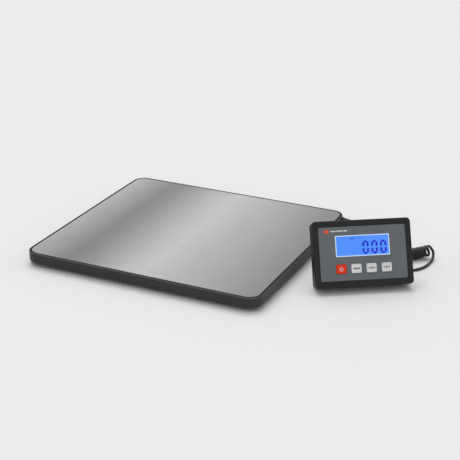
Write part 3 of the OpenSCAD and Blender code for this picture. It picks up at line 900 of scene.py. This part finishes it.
def make_emblem():
    """A plain round mark and three plain dashes, with no lettering."""
    x, y = EMBLEM_X, EMBLEM_UP
    mark = [outline((x, y, EMBLEM_W, EMBLEM_H, EMBLEM_H / 2), 0, 8)]
    put(flat_print("panel_mark", "print_orange", mark, PANEL_FRONT, PANEL_PRINT_T), "base")
    dashes = []
    left = x + DASHES_START
    for width in DASH_WIDTHS:
        dash = (left + width / 2, y + 0.2 * MM, width, DASH_H, 0.4 * MM)
        dashes.append(outline(dash, 0, 3))
        left += width + DASH_GAP
    put(flat_print("panel_dashes", "print_white", dashes, PANEL_FRONT, PANEL_PRINT_T), "base")


SEGMENT_H = 16.6 * MM
SEGMENT_W = 8.2 * MM
SEGMENT_T = 2.6 * MM
SEGMENT_GAP = 0.25 * MM
DIGITS = 3
DIGIT_PITCH = 11.2 * MM
LAST_DIGIT_X = LCD_W / 2 - 7.7 * MM
DIGITS_UP = LCD_UP - 2.6 * MM
LCD_PRINT_T = 0.05 * MM
LCD_BORDER_W = 0.95 * MM


def segment(x0, y0, x1, y1, thick):
    """A pointed LCD segment from one end to the other."""
    a, b = Vector((x0, y0)), Vector((x1, y1))
    along = (b - a).normalized()
    side = Vector((-along.y, along.x)) * thick / 2
    tip = along * thick / 2
    corners = (a, a + tip + side, b - tip + side, b, b - tip - side, a + tip - side)
    return [tuple(corner) for corner in corners]


def zero_digit(x, y):
    """The six lit segments of a 0, round the middle (x, y)."""
    w, h, gap = (SEGMENT_W - SEGMENT_T) / 2, (SEGMENT_H - SEGMENT_T) / 2, SEGMENT_GAP
    lines = [(-w + gap, h, w - gap, h), (-w + gap, -h, w - gap, -h)]
    for s in (-1, 1):
        lines += [(s * w, gap * 2, s * w, h - gap), (s * w, -gap * 2, s * w, -h + gap)]
    return [segment(x + a, y + b, x + c, y + d, SEGMENT_T) for a, b, c, d in lines]


def make_lcd():
    screen = (0, LCD_UP, LCD_W - 0.6 * MM, LCD_H - 0.6 * MM, 0.4 * MM)
    obj = plate("lcd_screen", "lcd_blue", screen, LCD_BACK, LCD_FRONT, 0.1 * MM, FACE)
    put(obj, "base", "lcd_glass")
    outer = (0, LCD_UP, LCD_W, LCD_H, 0.7 * MM)
    inner = (0, LCD_UP, LCD_W - 2 * LCD_BORDER_W, LCD_H - 2 * LCD_BORDER_W, 0.3 * MM)
    border = plate("lcd_pale_border", "lcd_border", outer, BORDER_BACK, BORDER_FRONT, 0.1 * MM,
                   FACE, [(inner, 0.1 * MM)])
    put(border, "base")
    window = plate("lcd_clear_window", "clear_window", outer, WINDOW_BACK, WINDOW_FRONT,
                   0.05 * MM, FACE)
    put(window, "base", "lcd_window")
    digits = []
    for k in range(DIGITS):
        digits += zero_digit(LAST_DIGIT_X - DIGIT_PITCH * k, DIGITS_UP)
    marks = [outline((-14.4 * MM, LCD_UP + 8.9 * MM, 1.5 * MM, 1.5 * MM, 0.3 * MM), 0, 3),
             outline((-11.7 * MM, LCD_UP + 8.6 * MM, 1.8 * MM, 1.8 * MM, 0.9 * MM), 0, 4)]
    for name, shapes in (("lcd_digits", digits), ("lcd_marks", marks)):
        put(flat_print(name, "lcd_ink", shapes, LCD_FRONT, LCD_PRINT_T), "base")


def make_key(name):
    body = name + "_key"
    colour = "key_red" if name == "power" else "key_grey"
    ink = "print_white" if name == "power" else "print_dark"
    top, edge = KEY_TOP, 0.45 * MM
    profile = [(0, CAP_BACK)]
    profile += arc((edge, top - edge), edge, 180, 90, 5)
    profile += [(1.1 * MM, top - 0.01 * MM), (2.2 * MM, top - 0.07 * MM),
                (3.6 * MM, KEY_MIDDLE)]
    cap = profiled("keycap_" + name, colour, key_shape(name), profile, FACE)
    put(cap, body, "key_" + name)
    flange = plate("key_flange_" + name, colour, key_shape(name, 1 * MM), FLANGE_BACK, CAP_BACK,
                   0.15 * MM, FACE)
    put(flange, body)
    stem = [(0, STEM_BACK), (STEM_R - 0.3 * MM, STEM_BACK), (STEM_R, STEM_BACK + 0.3 * MM),
            (STEM_R, FLANGE_BACK), (0, FLANGE_BACK)]
    matrix = FACE @ Matrix.Translation((key_x(name), KEY_UP, 0))
    put(lathe("key_stem_" + name, colour, stem, matrix, 24), body)
    symbol = [[(key_x(name) + x, KEY_UP + y) for x, y in shape] for shape in SYMBOLS[name]]
    put(flat_print("key_symbol_" + name, ink, symbol, KEY_MIDDLE, 0.1 * MM), body)


def bar(x, y, w, h):
    return outline((x, y, w, h, min(w, h) * 0.25), 0, 2)


def arc_band(x, y, r, thick, start, end):
    """Part of a flat ring, in one outline."""
    outer = arc((x, y), r + thick / 2, start, end, 16)
    return outer + arc((x, y), r - thick / 2, start, end, 16)[::-1]


def triangle(x, y, size, way):
    back = x - way * size / 2
    return [(x + way * size / 2, y), (back, y + size / 2), (back, y - size / 2)]


SYMBOLS = {
    "power": [arc_band(0, -0.2 * MM, 2.0 * MM, 0.7 * MM, 125, 415),
              bar(0, 1.4 * MM, 0.8 * MM, 2.6 * MM)],
    "mode": [bar(x * MM, 0, 2.0 * MM, 2.0 * MM) for x in (-2.7, 0, 2.7)],
    "hold": [bar(x * MM, 0, 1.1 * MM, 2.3 * MM) for x in (-1.0, 1.0)]
            + [bar(x * MM, 0, 1.9 * MM, 0.9 * MM) for x in (-3.1, 3.1)],
    "tare": [bar(0, 0, 2.0 * MM, 2.0 * MM), triangle(-2.8 * MM, 0, 2.0 * MM, 1),
             triangle(2.8 * MM, 0, 2.0 * MM, -1)],
}


BOOT_X = 44 * MM
BOOT_UP = 12 * MM


def make_display_boot():
    place = Matrix.Translation((BOOT_X, BOOT_UP, -DISPLAY_DEPTH))
    matrix = FACE @ place @ Matrix.Rotation(math.pi, 4, "X")
    profile = boot_profile(10 * MM, 4.3 * MM, BOOT_PLAY, 0.6 * MM)
    obj = lathe("display_strain_relief", "cord_rubber", profile, matrix, 40)
    put(obj, "base", "display_cord_boot")


BATTERY_LENGTH = 44.5
BATTERY_R = 5.25
# (radius, height) in millimetres, from the negative end to the positive button
BATTERY_CAN = [
    (0, 0.3), (3.2, 0.3), (3.8, 0), (4.9, 0), (BATTERY_R, 0.35), (BATTERY_R, 42.8), (4.9, 43.2),
    (3.0, 43.2), (2.8, 43.5), (1.9, 43.5), (1.9, 44.3), (1.7, BATTERY_LENGTH),
    (0, BATTERY_LENGTH),
]


def make_batteries():
    turned = upward.to_track_quat("Z", "Y").to_matrix().to_4x4()
    can = [(r * MM, height * MM) for r, height in BATTERY_CAN]
    for number in (1, 2, 3):
        low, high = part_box("battery_%d" % number)
        start = (low + high) / 2 - upward * BATTERY_LENGTH * MM / 2
        matrix = Matrix.Translation(start) @ turned
        put(lathe("battery_cell_%d" % number, "battery_skin", can, matrix, 36), "base",
            "battery_%d" % number)


make_front_bezel()
make_front_panel()
make_emblem()
make_lcd()
for key_name in KEYS:
    make_key(key_name)
make_display_boot()
make_batteries()


# ---- CAD nodes that stay, with their own materials --------------------------------------

# Width in millimetres of the rounded edges
EDGE_WIDTHS = {"rear_cover": 0.45, "battery_door": 0.3, "stand_leg": 0.5}
EDGE_WIDTH = 0.12


def dress_cad_nodes():
    slots = {s["node"]: s["material_slot"] for s in frame["record"]["subparts"]}
    for name, obj in nodes.items():
        if obj.hide_render:
            continue
        obj.data.materials.clear()
        obj.data.materials.append(MATERIALS[slots[name]])
        soften(obj, EDGE_WIDTHS.get(name, EDGE_WIDTH) * MM)


dress_cad_nodes()


# ---- stage -----------------------------------------------------------------------------

FLOOR_GREY = 0.79
FLOOR_SIZE = 12
KEY_LIGHT = 1.3
KEY_LIGHT_ANGLE = 40
KEY_LIGHT_WAY = Vector((0.28, -0.36, -0.89))
WORLD_LIGHT_LOW = 0.64
WORLD_LIGHT_HIGH = 0.72


def make_floor():
    bpy.ops.mesh.primitive_plane_add(size=FLOOR_SIZE)
    floor = bpy.context.object
    floor.name = "studio_floor"
    shader = Shader("studio_floor", (FLOOR_GREY,) * 3, 0.7)
    shader.set("Specular IOR Level", 0.1)
    floor.data.materials.append(shader.material)


def make_light():
    """A broad key light from the left and behind."""
    sun = bpy.data.lights.new("soft_key", "SUN")
    sun.energy = KEY_LIGHT
    sun.angle = math.radians(KEY_LIGHT_ANGLE)
    lamp = bpy.data.objects.new("soft_key", sun)
    lamp.rotation_euler = KEY_LIGHT_WAY.to_track_quat("-Z", "Y").to_euler()
    bpy.context.scene.collection.objects.link(lamp)


def make_world():
    """Even studio light, a little stronger from overhead."""
    world = bpy.data.worlds.new("studio")
    bpy.context.scene.world = world
    world.use_nodes = True
    tree = world.node_tree
    background = tree.nodes["Background"]
    coordinates = tree.nodes.new("ShaderNodeTexCoord")
    split = tree.nodes.new("ShaderNodeSeparateXYZ")
    tree.links.new(coordinates.outputs["Generated"], split.inputs[0])
    ranged = tree.nodes.new("ShaderNodeMapRange")
    ranged.inputs["To Min"].default_value = WORLD_LIGHT_LOW
    ranged.inputs["To Max"].default_value = WORLD_LIGHT_HIGH
    tree.links.new(split.outputs["Z"], ranged.inputs["Value"])
    tree.links.new(ranged.outputs["Result"], background.inputs["Strength"])
    background.inputs["Color"].default_value = (1, 1, 1, 1)


make_floor()
make_light()
make_world()
bpy.context.scene.view_settings.view_transform = "Standard"
